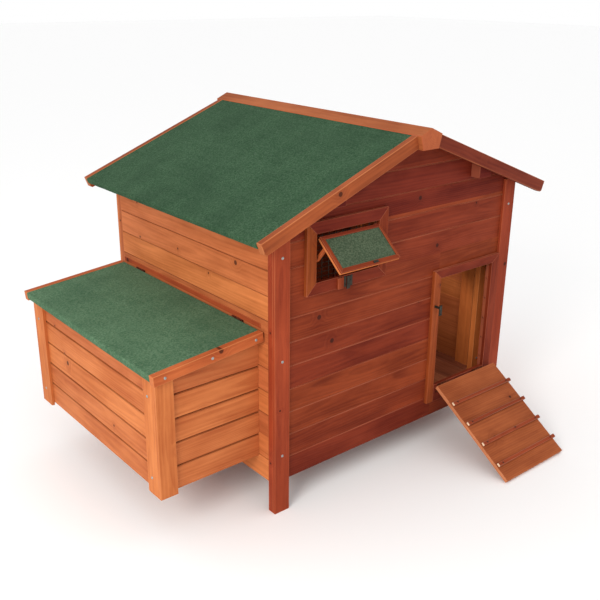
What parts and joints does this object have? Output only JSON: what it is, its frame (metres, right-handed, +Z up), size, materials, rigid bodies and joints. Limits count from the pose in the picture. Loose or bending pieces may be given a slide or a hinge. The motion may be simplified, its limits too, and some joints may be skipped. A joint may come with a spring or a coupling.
{
  "type": "chicken coop",
  "caption": "Raised timber hen house with felted gable roof, hanging nest box with hinged lid, top-hung window shutter over wire mesh, and a pop-hole closed by a fold-down ramp.",
  "frame": {"origin": "on the ground, at the middle of the whole footprint with the nest box on and the ramp down", "axes": "+Z up; the ramp gable faces -Y with the ridge along Y; the nest box hangs on the -X side and +X runs across the gable away from it"},
  "size_m": [1.4356, 1.2486, 1.079],
  "materials": {
    "stained_fir_light": "honey-brown stained fir, satin, with knots",
    "stained_fir_dark": "red-brown stained fir, satin, with knots",
    "ramp_fir": "brown stained fir, matt",
    "inside_fir": "thinly stained fir, matt",
    "mineral_felt": "green mineral-surfaced roofing felt, granular",
    "galvanised_steel": "galvanised steel"
  },
  "bodies": {
    "house": {"front_left_leg": "stained_fir_light", "front_right_leg": "stained_fir_light", "back_left_leg": "stained_fir_light", "back_right_leg": "stained_fir_light", "right_wall": "stained_fir_light", "left_wall_upper": "stained_fir_light", "left_wall_lower": "stained_fir_light", "left_wall_near_jamb": "stained_fir_light", "left_wall_far_jamb": "stained_fir_light", "roof_left_deck": "stained_fir_light", "roof_right_deck": "stained_fir_light", "front_left_barge_board": "stained_fir_light", "back_left_barge_board": "stained_fir_light", "front_right_barge_board": "stained_fir_light", "back_right_barge_board": "stained_fir_light", "ridge_beam": "stained_fir_light", "nest_front_wall": "stained_fir_light", "nest_near_post": "stained_fir_light", "nest_far_post": "stained_fir_light", "front_wall_lower": "stained_fir_dark", "front_wall_below_door": "stained_fir_dark", "front_wall_beside_door": "stained_fir_dark", "front_wall_above_door": "stained_fir_dark", "front_wall_left_of_window": "stained_fir_dark", "front_wall_right_of_window": "stained_fir_dark", "front_gable": "stained_fir_dark", "back_wall": "stained_fir_dark", "window_trim": "stained_fir_dark", "door_trim_left": "stained_fir_dark", "door_trim_right": "stained_fir_dark", "door_trim_top": "stained_fir_dark", "door_sill": "stained_fir_dark", "nest_near_wall": "stained_fir_dark", "nest_far_wall": "stained_fir_dark", "nest_divider": "stained_fir_dark", "floor": "inside_fir", "perch": "inside_fir", "nest_floor": "inside_fir", "roof_left_felt": "mineral_felt", "roof_right_felt": "mineral_felt", "window_mesh": "galvanised_steel", "ramp_hinge_left": "galvanised_steel", "ramp_hinge_right": "galvanised_steel", "nest_lid_hinge_near": "galvanised_steel", "nest_lid_hinge_far": "galvanised_steel"},
    "ramp": {"ramp_board": "ramp_fir", "ramp_batten_1": "ramp_fir", "ramp_batten_2": "ramp_fir", "ramp_batten_3": "ramp_fir", "ramp_batten_4": "ramp_fir"},
    "nest_lid": {"nest_lid_board": "stained_fir_light", "nest_lid_felt": "mineral_felt", "nest_lid_near_batten": "stained_fir_light", "nest_lid_far_batten": "stained_fir_light"},
    "shutter": {"shutter_board": "stained_fir_dark", "shutter_border": "stained_fir_dark", "shutter_felt": "mineral_felt"},
    "stay": {"window_stay": "stained_fir_light"},
    "window_turn_button": {"window_button": "galvanised_steel"},
    "pop_hole_turn_button": {"pop_hole_button": "galvanised_steel"}
  },
  "joints": [
    {"name": "ramp_hinge", "type": "hinge", "parent": "house", "child": "ramp", "pos_m": [0.43855, -0.31217, 0.217], "axis": [-1, 0, 0], "range_deg": [0, 124]},
    {"name": "nest_lid_hinge", "type": "hinge", "parent": "house", "child": "nest_lid", "pos_m": [-0.37145, 0.14333, 0.566], "axis": [0, 1, 0], "range_deg": [0, 75]},
    {"name": "shutter_hinge", "type": "hinge", "parent": "house", "child": "shutter", "pos_m": [-0.10595, -0.30067, 0.815], "axis": [1, 0, 0], "range_deg": [0, 49]},
    {"name": "stay_pivot", "type": "hinge", "parent": "shutter", "child": "stay", "pos_m": [-0.20996, -0.31367, 0.78118], "axis": [-1, 0, 0], "range_deg": [0, 89]},
    {"name": "window_button_pivot", "type": "hinge", "parent": "house", "child": "window_turn_button", "pos_m": [-0.10895, -0.30247, 0.678], "axis": [0, 1, 0], "range_deg": [0, 180]},
    {"name": "pop_hole_button_pivot", "type": "hinge", "parent": "house", "child": "pop_hole_turn_button", "pos_m": [0.27204, -0.31367, 0.498], "axis": [0, -1, 0], "range_deg": [0, 90]}
  ],
  "couplings": [
    {"joint": "stay_pivot", "follows": "shutter_hinge", "ratio": 1.8163}
  ]
}
